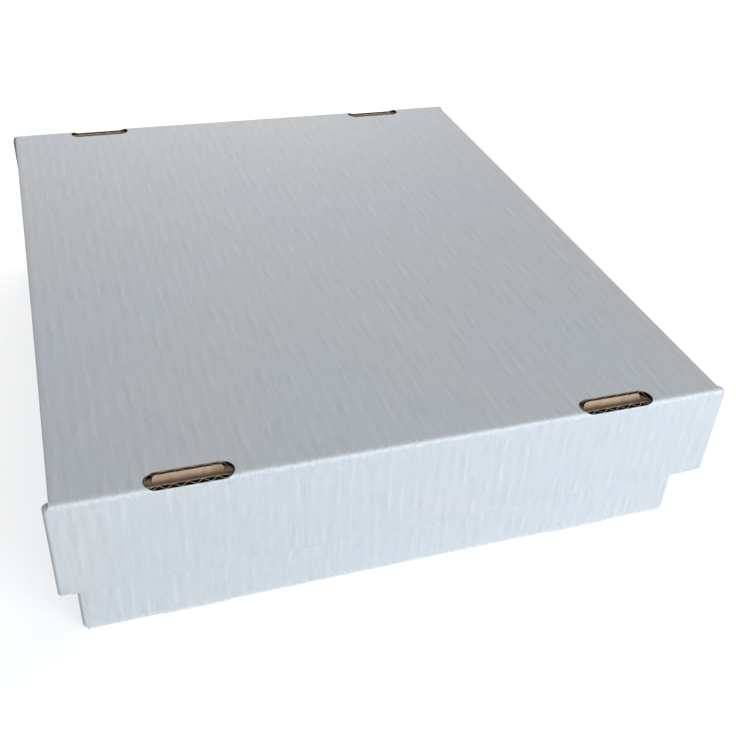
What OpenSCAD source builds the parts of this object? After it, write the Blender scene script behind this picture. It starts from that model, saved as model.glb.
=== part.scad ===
// A flat box with a full lid that stores trading cards in five rows.
// Tray and lid are each one die-cut sheet of corrugated board. Each end wall is double: it
// rolls over the side walls' corner flaps, and tabs on its free edge lock in slots at the
// fold. Four folded dividers stand between the rows, held in slots in the tray's end walls.
// The origin is the centre of the tray's underside. +X is right, +Y is back and +Z is up.

/* [Board] */
// Thickness of the corrugated board
board = 4; // [2.5:0.1:5]
// Inside radius of a crease
crease_r = 0.5; // [0.3:0.1:1]
// Air between two layers of board that lie against each other
layer_gap = 0.2; // [0.1:0.05:0.4]

/* [Lid] */
// Width of the lid over the ears of its end walls
lid_w = 400; // [370:1:480]
// Depth of the lid from front face to back face
lid_d = 470; // [380:1:600]
// Height of the lid from top face to lower rim
lid_h = 66; // [50:1:90]
// Length of the lid's corner flaps, measured from the side wall's outer face
lid_flap = 44; // [25:1:120]
// How far a lid tab's edge stays below the lid's top face
lid_tab_recess = 0.1; // [0:0.1:1.5]

/* [Tray] */
// Height of the tray from underside to rim
tray_h = 108; // [102:1:140]
// Length of the tray's corner flaps, measured from the side wall's outer face
tray_flap = 60; // [25:1:120]
// How far a tray tab's edge stays above the tray's underside
tray_tab_recess = 0.6; // [0.2:0.1:1.5]

/* [Fit of the lid] */
// Air between the tray's ears and each side wall of the lid
side_clear = 1.5; // [0.5:0.1:4]
// Air between the tray and each end wall of the lid
end_clear = 1.5; // [0.5:0.1:4]
// Air between the tray's rim and the lid's top panel
rest_gap = 0.3; // [0.2:0.1:1]

/* [End walls] */
// How far an end wall's ear stands past the side wall's outer face
ear = 3.5; // [1:0.5:6]
// Radius of an ear's corner beside the fold
ear_r = 4; // [1:0.5:4.5]
// How far an ear's cut edge stays short of the panel's face
ear_recess = 0.3; // [0.1:0.1:1]
// Radius of an end wall's corner at the rim
rim_corner_r = 1.5; // [0.5:0.5:2.5]
// Open notch between a side fold and the end wall
notch = 1.5; // [0.5:0.1:3]
// Air between the rolled wall's side edges and the folds of the corner flaps
roll_gap = 0.3; // [0.1:0.1:2]

/* [Lock tabs] */
// Distance of each tab and slot from the middle of the end wall
tab_x = 126; // [60:1:135]
// Length of a slot
slot_len = 48; // [44:1:70]
// Radius of a slot's corners
slot_r = 6.7; // [6.2:0.1:7.5]
// How far a slot reaches down the end wall from the panel's face
slot_drop = 1.7; // [0.5:0.1:3.5]
// Air between a tab and its slot's far edge
slot_clear = 0.5; // [0.3:0.1:1.5]
// Length of a tab
tab_len = 38; // [20:1:38]
// Radius of a tab's corners
tab_r = 2; // [0.5:0.1:2.4]

/* [Row dividers] */
// Number of card rows
rows = 5; // [2:1:5]
// Height of a divider
divider_h = 95; // [70:1:95]
// Air between a divider's two leaves
leaf_gap = 0.4; // [0.2:0.1:1]
// Air between a divider and the tray's floor
divider_rest_gap = 0.3; // [0.2:0.1:1]
// Air between a divider and each end wall
divider_end_gap = 0.5; // [0.2:0.1:2]
// Height of a divider's end tabs
divider_tab_h = 40; // [20:1:50]
// Height of a divider's lower edge below its end tabs
divider_tab_z = 28; // [12:1:35]
// Air round a divider's end tab in its slot
divider_slot_clear = 0.4; // [0.2:0.1:1]

/* [Hidden] */
$fn = 48;
DIVIDERS = [for (i = [1:rows - 1]) str("row_divider_", i)];

WHITE_BOARD = [0.93, 0.94, 0.95];
cut = 1;                                    // how far a cutter runs past what it cuts

fold_r = board + crease_r;                  // outside radius of a crease
stack = 3 * board + 2 * layer_gap;          // outer wall, corner flap and rolled inner wall

lid_side_x = lid_w / 2 - ear;               // outer face of the lid's side walls
tray_w = 2 * (lid_side_x - board - side_clear);
tray_d = lid_d - 2 * (stack + end_clear);
tray_side_x = tray_w / 2 - ear;             // outer face of the tray's side walls
top_z = tray_h + rest_gap + board;          // top face of the lid

divider_w = 2 * board + leaf_gap;
divider_len = tray_d - 2 * (stack + divider_end_gap);
divider_tab_len = divider_end_gap + board - layer_gap;
row_pitch = (2 * (tray_side_x - board) + divider_w) / rows;
divider_x = [for (i = [1:rows - 1]) (i - rows / 2) * row_pitch];

// A quarter turn of board about the Z axis, from the X axis to the Y axis
module crease(length) {
    rotate_extrude(angle = 90) translate([crease_r, 0]) square([board, length]);
}

// A crease along X with its hollow facing up and inwards, at the corner y = 0 and z = 0
module crease_x(half) {
    translate([-half, fold_r, fold_r]) rotate([180, 0, 0]) rotate([90, 0, 90]) crease(2 * half);
}

// A rectangle over y = 0 whose two upper corners are round, centred on x = 0
module round_top(length, height, r) {
    translate([-length / 2, 0]) square([length, height - r]);
    translate([r - length / 2, 0]) square([length - 2 * r, height]);
    for (side = [-1, 1]) translate([side * (length / 2 - r), height - r]) circle(r);
}

// A slot's outline as seen along the end wall, centred on x = 0 with its far edge at y = 0
module slot_outline() {
    translate([0, -slot_r]) {
        square([slot_len - 2 * slot_r, 2 * slot_r], center = true);
        for (side = [-1, 1]) translate([side * (slot_len / 2 - slot_r), 0]) circle(slot_r);
    }
}

// The two lock slots of one end wall: through the panel, and a little way down the wall
module lock_slots() {
    for (side = [-1, 1]) translate([side * tab_x, stack + slot_clear, -cut]) {
        linear_extrude(slot_drop + cut) slot_outline();
        linear_extrude(board + layer_gap / 2 + cut) intersection() {
            slot_outline();
            translate([-slot_len, board - stack - slot_clear]) square([2 * slot_len, stack]);
        }
    }
}

// One outer end wall with its ears, lying from y = 0 to y = board, rim at z = height
module outer_wall(side_x, height) {
    roll_x = side_x - fold_r - roll_gap;
    ear_w = ear + fold_r;
    rim_w = ear + fold_r + roll_gap;
    translate([0, board, 0]) rotate([90, 0, 0]) linear_extrude(board) {
        translate([-side_x - ear, fold_r]) square([2 * (side_x + ear), height - 2 * fold_r]);
        for (side = [0, 1]) mirror([side, 0]) {
            translate([side_x - fold_r, ear_recess]) {
                translate([0, ear_r]) square([ear_w, fold_r - ear_recess - ear_r]);
                square([ear_w - ear_r, fold_r - ear_recess]);
                translate([ear_w - ear_r, ear_r]) circle(ear_r);
            }
            translate([roll_x, height - fold_r]) {
                square([rim_w, fold_r - ear_recess - rim_corner_r]);
                square([rim_w - rim_corner_r, fold_r - ear_recess]);
                translate([rim_w - rim_corner_r, fold_r - ear_recess - rim_corner_r])
                    circle(rim_corner_r);
            }
        }
    }
}

// The rolled part of one end wall: crease, land, crease and inner wall down to its lock tabs
module rolled_wall(side_x, height, recess) {
    roll_x = side_x - fold_r - roll_gap;
    translate([0, 0, height]) mirror([0, 0, 1]) {
        crease_x(roll_x);
        translate([-roll_x, fold_r, 0]) cube([2 * roll_x, stack - 2 * fold_r, board]);
        translate([0, stack, 0]) mirror([0, 1, 0]) crease_x(roll_x);
    }
    foot = board + layer_gap;
    translate([-roll_x, stack - board, foot]) cube([2 * roll_x, board, height - fold_r - foot]);
    for (side = [-1, 1]) translate([side * tab_x, stack, foot])
        rotate([-90, 0, 0]) mirror([0, 0, 1]) linear_extrude(board)
            round_top(tab_len, foot - recess, tab_r);
}

// One side wall with its two corner flaps, lying from x = 0 to x = board
module side_wall(depth, height, flap) {
    end_y = depth / 2 - board - layer_gap;  // outer face of the corner flaps
    fold_y = end_y - notch;
    wall_y = end_y - fold_r;
    translate([fold_r, fold_y, fold_r]) rotate([90, 90, 0]) mirror([1, 0, 0]) mirror([0, 1, 0])
        mirror([1, 0, 0]) crease(2 * fold_y);
    translate([0, -wall_y, fold_r]) cube([board, 2 * wall_y, height - fold_r]);
    for (end = [0, 1]) mirror([0, end, 0]) {
        translate([fold_r, -wall_y, fold_r]) rotate(180) crease(height - fold_r);
        translate([fold_r, -end_y, fold_r])
            cube([flap - fold_r, board, height - fold_r - board - 2 * layer_gap]);
    }
}

// A tray folded from one sheet: a panel at z = 0, two single and two double walls
module folded_sheet(width, depth, height, flap, recess) {
    side_x = width / 2 - ear;
    panel = [2 * (side_x - fold_r), depth - 2 * fold_r, board];
    difference() {
        union() {
            translate([-panel.x / 2, -panel.y / 2, 0]) cube(panel);
            for (end = [0, 1]) mirror([0, end, 0]) translate([0, -depth / 2, 0]) {
                crease_x(panel.x / 2);
                outer_wall(side_x, height);
            }
        }
        for (end = [0, 1]) mirror([0, end, 0]) translate([0, -depth / 2, 0]) lock_slots();
    }
    for (end = [0, 1]) mirror([0, end, 0]) translate([0, -depth / 2, 0])
        rolled_wall(side_x, height, recess);
    for (side = [0, 1]) mirror([side, 0, 0]) translate([-side_x, 0, 0])
        side_wall(depth, height, flap);
}

// One divider's end tab, or with some air round it the slot that takes it
module divider_tab(air) {
    translate([-divider_w / 2 - air, 0, divider_tab_z - air])
        cube([divider_w + 2 * air, divider_tab_len + air, divider_tab_h + 2 * air]);
}

module tray() {
    color(WHITE_BOARD) difference() {
        folded_sheet(tray_w, tray_d, tray_h, tray_flap, tray_tab_recess);
        for (x = divider_x, end = [0, 1]) mirror([0, end, 0])
            translate([x, divider_len / 2, board + divider_rest_gap])
                divider_tab(divider_slot_clear);
    }
}

module lid() {
    color(WHITE_BOARD) translate([0, 0, top_z]) mirror([0, 0, 1])
        folded_sheet(lid_w, lid_d, lid_h, lid_flap, lid_tab_recess);
}

// A strip folded double over its top edge, with a tab at each end of both leaves
module row_divider(x) {
    bend = board + leaf_gap / 2;            // outside radius of the fold at the top
    color(WHITE_BOARD) translate([x, 0, board + divider_rest_gap]) {
        difference() {
            union() {
                translate([-bend, -divider_len / 2, 0])
                    cube([divider_w, divider_len, divider_h - bend]);
                for (end = [0, 1]) mirror([0, end, 0])
                    translate([0, divider_len / 2, 0]) divider_tab(0);
            }
            translate([-leaf_gap / 2, -divider_len, -cut])
                cube([leaf_gap, 2 * divider_len, divider_h - bend + cut]);
        }
        translate([0, divider_len / 2, divider_h - bend]) rotate([90, 0, 0])
            rotate_extrude(angle = 180) translate([leaf_gap / 2, 0]) square([board, divider_len]);
    }
}

tray();
lid();
for (i = [1:rows - 1])
    row_divider(divider_x[i - 1]);
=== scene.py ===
"""Dresses the trading card storage box: folded corrugated board, its finishes and the stage."""

import math

import bmesh
import bpy
import numpy as np
from mathutils import Matrix, Vector


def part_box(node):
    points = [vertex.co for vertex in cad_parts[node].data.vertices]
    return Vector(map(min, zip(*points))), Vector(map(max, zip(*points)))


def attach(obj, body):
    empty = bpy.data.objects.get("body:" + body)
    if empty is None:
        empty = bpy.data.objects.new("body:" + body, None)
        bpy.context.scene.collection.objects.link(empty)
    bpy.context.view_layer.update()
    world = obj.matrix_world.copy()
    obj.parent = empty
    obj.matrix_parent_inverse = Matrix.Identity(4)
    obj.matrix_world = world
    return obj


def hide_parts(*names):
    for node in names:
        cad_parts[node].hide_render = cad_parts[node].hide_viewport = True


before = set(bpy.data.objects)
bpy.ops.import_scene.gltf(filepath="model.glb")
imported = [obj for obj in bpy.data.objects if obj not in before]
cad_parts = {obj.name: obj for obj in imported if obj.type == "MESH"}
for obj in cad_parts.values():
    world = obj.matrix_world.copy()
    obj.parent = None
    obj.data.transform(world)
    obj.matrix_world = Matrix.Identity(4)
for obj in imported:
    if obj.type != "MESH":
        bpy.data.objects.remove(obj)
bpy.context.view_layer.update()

bl_info = {
    "name": "Card Storage Box",
    "version": (1, 0, 0),
    "blender": (4, 5, 0),
    "location": "3D View > Sidebar > Card Box",
    "description": "Folded corrugated box with a full lid and row dividers",
    "category": "Object",
}

MM = 0.001
QUARTER = math.pi / 2
NEAR = 1e-7                     # positions closer than this count as the same
TINY = 1e-9                     # keeps rounding out of a comparison or a division
SPILL = 1e-6                    # share of a step that rounding may add to a length
APART = 0.08 * MM               # rows or columns closer than this become one
PROBE = 0.05 * MM               # a small step off a face, to find which way it faces
JOIN = 0.01 * MM                # points closer than this are joined in the finished mesh
SHARP = math.radians(40)        # an edge that turns more than this stays sharp
PANEL_STEP = 12 * MM            # longest face along a panel
WALL_STEP = 11 * MM             # longest face up an end wall
FLAP_STEP = 14 * MM             # longest face along a corner flap or up a divider
BOW = 0.3 * MM                  # how far the whole box is off true
FLUTES_ACROSS = 52              # flutes counted across the lid's front wall
LATER_TURN = 0.55               # how worn a sheet's later turns are beside its first
TURN_REACH = 6.0                # how far the wear of a turn reaches, in radii
EAR_FOOT = 2.0 * MM             # how far an ear's flutes are crushed shut beside the side fold
CRUSH_BEFORE = 3 * MM           # how far before a lock tab its squeezing starts
CRUSH_BESIDE = 4 * MM           # how far beside a lock tab its squeezing reaches
FLOOR_REACH = 6.0               # half the floor's width, in metres
FLOOR_SHADE = (0.8, 0.8, 0.8, 1.0)
LIFT_NEAR, LIFT_FAR = 0.4, 1.1  # distances in metres between which the floor's lift becomes full
SKY_SHADE = (0.92, 0.96, 1.0, 1.0)
PLAIN_WHITE = (1.0, 1.0, 1.0, 1.0)
SENSOR = 36.0                   # width of the camera's sensor in millimetres

# Place and width of each lamp in metres, and its colour
LAMPS = {
    "key": ((1.0, -1.93, 0.4), 1.3, (0.87, 0.935, 1.0)),
    "top": ((0.05, 0.8, 0.5), 0.7, (1.0, 0.96, 0.93)),
}

# Finish numbers, in the order of a piece's material slots
WHITE, KRAFT, CUT, PAINTED_SHADE = range(4)

lid_low, lid_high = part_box("lid")
tray_low, tray_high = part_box("tray")


def length(name, description, millimetres):
    """A length property whose default is written in millimetres."""
    return bpy.props.FloatProperty(
        name=name, description=description, default=millimetres * MM, min=0.0,
        precision=5, unit="LENGTH", subtype="DISTANCE",
    )


def fraction(name, description, default, most):
    """A property that is a share of something."""
    return bpy.props.FloatProperty(
        name=name, description=description, default=default, min=0.0, max=most, subtype="FACTOR",
    )


def angle(name, description, degrees):
    """An angle property whose default is written in degrees."""
    return bpy.props.FloatProperty(
        name=name, description=description, default=math.radians(degrees), subtype="ANGLE",
    )


def amount(name, description, default):
    """A plain number that is never negative."""
    return bpy.props.FloatProperty(name=name, description=description, default=default, min=0.0)


def colour(name, description, red, green, blue):
    """A colour property, in linear light."""
    return bpy.props.FloatVectorProperty(
        name=name, description=description, default=(red, green, blue), size=3,
        min=0.0, max=1.0, subtype="COLOR",
    )


class BoardSettings(bpy.types.PropertyGroup):
    """The corrugated board that every piece is folded from."""

    thickness: length("Thickness", "Thickness of the board", 4.0)
    pitch: length("Flute pitch", "Distance from one flute to the next",
                  (lid_high.x - lid_low.x) / FLUTES_ACROSS / MM)
    liner: length("Liner", "Thickness of each liner where it is cut", 0.42)
    core: length("Core", "Thickness of the wavy core sheet", 0.45)
    crease: length("Crease radius", "Outside radius of a pressed crease", 1.7)
    layer_gap: length("Layer gap", "Air between layers that lie together", 0.2)
    washboard: length("Washboard", "How far a liner sinks between two flutes", 0.04)
    core_depth: length("Core depth", "How deep an open flute is modelled", 8.0)


class FoldSettings(bpy.types.PropertyGroup):
    """The cut outline of the tray and the lid."""

    ear: length("Ear", "How far an end wall stands past the side wall", 3.5)
    back_ear: length("Back ear", "How far the back wall's ears show past the side wall", 1.9)
    ear_radius: length("Ear radius", "Radius of an ear's corner beside the fold", 4.0)
    ear_recess: length("Ear recess", "How far an ear's edge stays short of the panel", 0.3)
    rim_radius: length("Rim corner radius", "Radius of an end wall's corner at the rim", 1.5)
    notch: length("Notch", "Open notch between a side fold and the end wall", 0.4)
    roll_gap: length("Roll gap", "Air beside the rolled wall", 0.8)
    press: fraction("Pressed rim", "Share of its thickness that an ear's cut rim has lost",
                    0.86, 0.9)
    press_reach: length("Pressed reach", "Width of an ear's pressed rim", 1.9)
    lid_flap: length("Lid flap", "Length of the lid's corner flaps", 44.0)
    tray_flap: length("Tray flap", "Length of the tray's corner flaps", 60.0)
    tab_place: length("Tab place", "Distance of each tab from the wall's middle", 126.0)
    tab_length: length("Tab length", "Length of a lock tab", 38.0)
    tab_radius: length("Tab radius", "Radius of a lock tab's corners", 2.6)
    tab_crush: fraction("Tab crush", "Share of its thickness that a tab's edge has lost",
                        0.42, 0.8)
    lid_tab_recess: length("Lid tab recess", "How far a tab stays below the lid's face", 0.1)
    tray_tab_recess: length("Tray tab recess", "How far a tab stays above the underside", 0.6)
    slot_length: length("Slot length", "Length of a lock slot", 48.0)
    slot_clear: length("Slot clearance", "Air between a tab and its slot's far edge", 0.5)
    lid_slot_drop: length("Lid slot drop", "How far a slot reaches down the lid's end wall", 1.7)
    tray_slot_drop: length("Tray slot drop", "How far a slot reaches up the tray's end wall", 1.0)


class DividerSettings(bpy.types.PropertyGroup):
    """The folded strips between the card rows."""

    tab_low: length("Tab height", "Height of the end tabs above the strip's lower edge", 28.0)
    tab_size: length("Tab size", "Height of an end tab", 40.0)
    slot_air: length("Slot air", "Air round an end tab in its slot", 0.4)
    end_gap: length("End gap", "Air between a divider and the end wall", 0.5)


class FinishSettings(bpy.types.PropertyGroup):
    """Colours of the paper, and a painted shade for the insides of the flutes."""

    white: colour("White liner", "Outer liner of the board", 0.76, 0.775, 0.79)
    kraft: colour("Kraft liner", "Inner liner of the board", 0.67, 0.49, 0.34)
    cut: colour("Cut paper", "Cut edges of liners and core", 0.62, 0.52, 0.41)
    # Painted shade: nearly black, standing in for the shade deep inside the open flutes.
    shade_in_flutes: colour("Flute tunnel", "Paper inside the flutes", 0.045, 0.03, 0.02)


class StageSettings(bpy.types.PropertyGroup):
    """Camera, lamps and floor."""

    distance_left: length("Camera left", "Camera's distance left of the middle", 171.98)
    distance_front: length("Camera front", "Camera's distance in front of the middle", 608.04)
    above_lid: length("Camera height", "Camera's height above the lid", 343.7)
    heading: angle("Heading", "Camera's turn to the right", 20.33)
    tilt: angle("Tilt", "Camera's tilt downwards", 35.86)
    roll: angle("Roll", "Camera's roll", 3.76)
    lens: amount("Lens", "Focal length in millimetres", 47.55)
    sky: amount("Sky", "Strength of the even light", 0.335)
    key: amount("Key lamp", "Power of the front lamp in watts", 36.0)
    top: amount("Top lamp", "Power of the lamp above and behind the box in watts", 2.6)
    floor_lift: amount("Floor lift", "Light added to the floor as the camera sees it", 0.62)


def settings(name):
    """The scene's values of one group of settings."""
    return getattr(bpy.context.scene, "card_box_" + name)


def smooth_step(value):
    """0 up to 0 and 1 from 1 on, with a smooth rise between them."""
    value = np.clip(value, 0.0, 1.0)
    return value * value * (3.0 - 2.0 * value)


def evenly(low, high, step):
    """Numbers from low to high at most step apart, both ends included."""
    return np.linspace(low, high, max(1, math.ceil((high - low) / step - SPILL)) + 1)


def merged(*lists):
    """Sorted numbers of all lists, those that nearly agree taken once."""
    values = np.sort(np.concatenate([np.atleast_1d(x) for x in lists]))
    apart = np.concatenate([[True], np.diff(values) > APART])
    return values[apart]


def between(values, low, high):
    """The values from low to high, both ends included."""
    return values[(values >= low - NEAR) & (values <= high + NEAR)]


def arc_shares(count):
    """Shares from 0 to 1, spaced as the points of a quarter circle are."""
    return np.sin(np.linspace(0, QUARTER, count))


def drawn_back(radius, from_end):
    """How far a rounded corner draws back at a distance from the end that it rounds."""
    lost = np.maximum(radius - from_end, 0.0)
    return radius - np.sqrt(np.maximum(radius**2 - lost**2, 0.0))


class FoldPath:
    """Section line of a sheet's outer face: straight runs with quarter turns to the left."""

    def __init__(self, start, heading, runs, radius):
        self.radius = radius
        self.pieces = []
        self.marks = [0.0]
        a, b = start
        for number, run in enumerate(runs):
            if number:
                self.pieces.append((self.marks[-1], a, b, heading, None))
                self.marks.append(self.marks[-1] + QUARTER * radius)
                a += radius * (math.cos(heading) - math.sin(heading))
                b += radius * (math.sin(heading) + math.cos(heading))
                heading += QUARTER
            folded = (number > 0, number < len(runs) - 1)
            self.pieces.append((self.marks[-1], a, b, heading, (run, *folded)))
            self.marks.append(self.marks[-1] + run)
            a += run * math.cos(heading)
            b += run * math.sin(heading)

    def bend_nearness(self, along):
        """1 in the middle of the first quarter turn, falling to 0 a few radii away.

        The later turns were pressed less, and reach LATER_TURN only."""
        nearness = [0.0 * along]
        for start, _, _, _, straight in self.pieces:
            if straight is None:
                off = (along - start) / self.radius - QUARTER / 2
                share = LATER_TURN if len(nearness) > 1 else 1.0
                nearness.append(share * np.exp(-(off / TURN_REACH)**2))
        return np.max(nearness, 0)

    def at(self, along, depth, mitred):
        """Place in the section plane at a distance along the outer face and a depth inside it.

        Where mitred is true, layers deeper than the radius meet on the inside of each turn."""
        a, b = np.zeros_like(along), np.zeros_like(along)
        beyond = np.where(mitred, np.maximum(depth - self.radius, 0.0), 0.0)
        for number, (start, a0, b0, heading, straight) in enumerate(self.pieces):
            here = along >= (start - TINY if number else -math.inf)
            gone = along - start
            ahead_a, ahead_b = math.cos(heading), math.sin(heading)
            if straight is None:
                turn = heading + gone / self.radius
                inner = np.maximum(self.radius - depth, np.where(mitred, 0.0, -math.inf))
                at_a = a0 - self.radius * ahead_b + inner * np.sin(turn)
                at_b = b0 + self.radius * ahead_a - inner * np.cos(turn)
                at_a -= beyond * (ahead_a + ahead_b)
                at_b += beyond * (ahead_a - ahead_b)
            else:
                run, fold_before, fold_after = straight
                gone = np.maximum(gone, beyond if fold_before else gone)
                gone = np.minimum(gone, run - beyond if fold_after else gone)
                at_a = a0 + gone * ahead_a - depth * ahead_b
                at_b = b0 + gone * ahead_b + depth * ahead_a
            a, b = np.where(here, at_a, a), np.where(here, at_b, b)
        return a, b


class Board:
    """Gathers the faces of one folded sheet of corrugated board."""

    def __init__(self, settle):
        self.board = settings("board")
        self.settle = settle
        self.points, self.flats, self.bends = [], [], []
        self.faces, self.finishes = [], []
        self.count = 0

    def wave(self, flute):
        """1 where the core touches the outer liner and -1 where it touches the inner one."""
        return np.cos(2 * math.pi * flute / self.board.pitch)

    def spot(self, region, p, q, depth):
        """World places and flat positions of points of a region, washboard included."""
        p, q, depth = np.broadcast_arrays(p, q, depth)
        flute, along = region.flat(p, q)
        wave = self.wave(flute)
        share = depth / self.board.thickness
        sink = self.board.washboard * 0.5 * ((1 - wave) * (1 - share) - (1 + wave) * share)
        depth = depth * (1 - region.crush(p, q))
        depth = depth + (self.board.thickness - depth) * region.press(p, q) + sink
        a, b = region.path.at(q, depth, region.mitred(p, q))
        flats = np.stack([flute, along, region.path.bend_nearness(q)], -1)
        return self.settle(region.place(p, a, b)), flats

    def strip(self, points, flats, facing, finish, keep=None):
        """Adds a grid of quads turned towards facing, which is one vector for each point."""
        rows, columns = points.shape[:2]
        index = np.arange(rows * columns).reshape(rows, columns)
        quads = np.stack(
            [index[:-1, :-1], index[:-1, 1:], index[1:, 1:], index[1:, :-1]], -1)
        diagonal = points[1:, 1:] - points[:-1, :-1]
        other = points[1:, :-1] - points[:-1, 1:]
        turned = (np.cross(diagonal, other) * facing[:-1, :-1]).sum() < 0
        quads = quads.reshape(-1, 4) if keep is None else quads[keep]
        if turned:
            quads = quads[:, ::-1]
        self.faces.append(quads + self.count)
        self.points.append(points.reshape(-1, 3))
        self.flats.append(flats[..., :2].reshape(-1, 2))
        self.bends.append(flats[..., 2].ravel())
        self.finishes.append(np.full(len(quads), finish))
        self.count += rows * columns

    def faces_of(self, region, p, q, keep=None):
        """Adds the outer and the inner liner of a region over columns p and rows q."""
        q = q if q.ndim == 2 else q[:, None]
        p = p[None, :]
        for depth, finish, side in ((0.0, WHITE, -1), (self.board.thickness, KRAFT, 1)):
            points, flats = self.spot(region, p, q, depth)
            beyond = self.spot(region, p, q, depth + side * PROBE)[0]
            self.strip(points, flats, beyond - points, finish, keep)

    def edge_frame(self, edge, side, closed):
        """Unit vectors in the flat sheet that point from an edge line into the board."""
        if closed:
            ahead, behind = np.roll(edge, -1, 0), np.roll(edge, 1, 0)
        else:
            ahead = np.vstack([edge[1:], edge[-1:]])
            behind = np.vstack([edge[:1], edge[:-1]])
        run = ahead - behind
        run /= np.maximum(np.linalg.norm(run, axis=1, keepdims=True), TINY)
        return side * np.stack([-run[:, 1], run[:, 0]], -1)

    def edge_strip(self, region, edge, into, rows, facing, finish):
        """Adds a strip between rows of (set back, depth) beside an edge line."""
        def sample(extra_back, extra_depth):
            rings = []
            for back, depth in rows:
                spots = edge + into * (back + extra_back)
                flute = region.flat(spots[:, 0], spots[:, 1])[0]
                level = depth(flute) if callable(depth) else depth
                rings.append(self.spot(region, spots[:, 0], spots[:, 1], level + extra_depth))
            return np.stack([r[0] for r in rings]), np.stack([r[1] for r in rings])

        points, flats = sample(0.0, 0.0)
        beyond = sample(PROBE * facing[0], PROBE * facing[1])[0]
        self.strip(points, flats, beyond - points, finish)

    def cut_edge(self, region, edge, side, closed=False):
        """Closes a cut edge: two liners' edges, with open flutes and the core between them."""
        if closed:
            edge = np.vstack([edge, edge[:1]])
            into = self.edge_frame(edge[:-1], side, True)
            into = np.vstack([into, into[:1]])
        else:
            into = self.edge_frame(edge, side, False)
        board = self.board
        full, liner, half = board.thickness, board.liner, board.core / 2
        swing = full / 2 - liner - half
        backs = (0.0, 0.35 * board.core_depth, board.core_depth)

        def core(shift):
            return lambda flute: full / 2 - swing * self.wave(flute) + shift

        self.edge_strip(region, edge, into, [(0, 0.0), (0, liner)], (-1, 0), CUT)
        self.edge_strip(region, edge, into, [(0, full - liner), (0, full)], (-1, 0), CUT)
        self.edge_strip(region, edge, into, [(0, core(-half)), (0, core(half))], (-1, 0), CUT)
        # The insides of the open flutes take the painted-shade finish, nearly black for the shade
        # deep in them.
        self.edge_strip(region, edge, into, [(x, core(-half)) for x in backs], (0, -1), PAINTED_SHADE)
        self.edge_strip(region, edge, into, [(x, core(half)) for x in backs], (0, 1), PAINTED_SHADE)
        self.edge_strip(region, edge, into, [(x, liner) for x in backs], (0, 1), PAINTED_SHADE)
        self.edge_strip(region, edge, into, [(x, full - liner) for x in backs], (0, -1), PAINTED_SHADE)
        deepest = backs[-1]
        self.edge_strip(
            region, edge, into, [(deepest, liner), (deepest, full - liner)], (-1, 0), PAINTED_SHADE)

    def plain_edge(self, region, edge, side):
        """Closes an edge that is crushed shut, or pressed against its neighbour."""
        into = self.edge_frame(edge, side, False)
        self.edge_strip(
            region, edge, into, [(0, 0.0), (0, self.board.thickness)], (-1, 0), CUT)

    def build(self, name):
        """Makes the object, with equal points joined and cut edges kept sharp."""
        points = np.concatenate(self.points)
        faces = np.concatenate(self.faces)
        mesh = bpy.data.meshes.new(name)
        mesh.vertices.add(len(points))
        mesh.vertices.foreach_set("co", points.astype(np.float32).ravel())
        mesh.loops.add(faces.size)
        mesh.loops.foreach_set("vertex_index", faces.astype(np.int32).ravel())
        mesh.polygons.add(len(faces))
        mesh.polygons.foreach_set("loop_start", np.arange(0, faces.size, 4, dtype=np.int32))
        mesh.polygons.foreach_set(
            "material_index", np.concatenate(self.finishes).astype(np.int32))
        sheet = mesh.uv_layers.new(name="sheet")
        flats = np.concatenate(self.flats)[faces.ravel()]
        sheet.uv.foreach_set("vector", flats.astype(np.float32).ravel())
        bend = mesh.attributes.new("bend", "FLOAT", "POINT")
        bend.data.foreach_set("value", np.concatenate(self.bends).astype(np.float32))
        mesh.update(calc_edges=True)
        mesh.validate(clean_customdata=False)
        work = bmesh.new()
        work.from_mesh(mesh)
        bmesh.ops.remove_doubles(work, verts=work.verts, dist=JOIN)
        bmesh.ops.dissolve_degenerate(work, edges=work.edges, dist=JOIN / 2)
        for face in work.faces:
            face.smooth = True
        work.to_mesh(mesh)
        work.free()
        mesh.set_sharp_from_angle(angle=SHARP)
        piece = bpy.data.objects.new(name, mesh)
        bpy.context.scene.collection.objects.link(piece)
        return piece


class Region:
    """A stretch of a sheet: its section path, its place in the box and its flat position."""

    def __init__(self, path, place, flat, crush=None, press=None, mitred=None):
        self.path, self.place, self.flat = path, place, flat
        self.crush = crush or (lambda p, q: 0.0)
        self.press = press or (lambda p, q: 0.0)
        self.mitred = mitred or (lambda p, q: True)


def cut_line(low, high, keys, step):
    """Positions from low to high at most step apart that pass exactly through the keys."""
    keys = merged(low, high, [k for k in keys if low < k < high])
    base = evenly(low, high, step)
    clear = np.abs(base[:, None] - keys[None, :]).min(1) > 0.3 * step
    return np.sort(np.concatenate([keys, base[clear]]))


def pairs(p, q):
    """A line of flat positions from two lists, or from one list and one number."""
    p, q = np.broadcast_arrays(np.asarray(p, float), np.asarray(q, float))
    return np.stack([p, q], -1)


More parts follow.
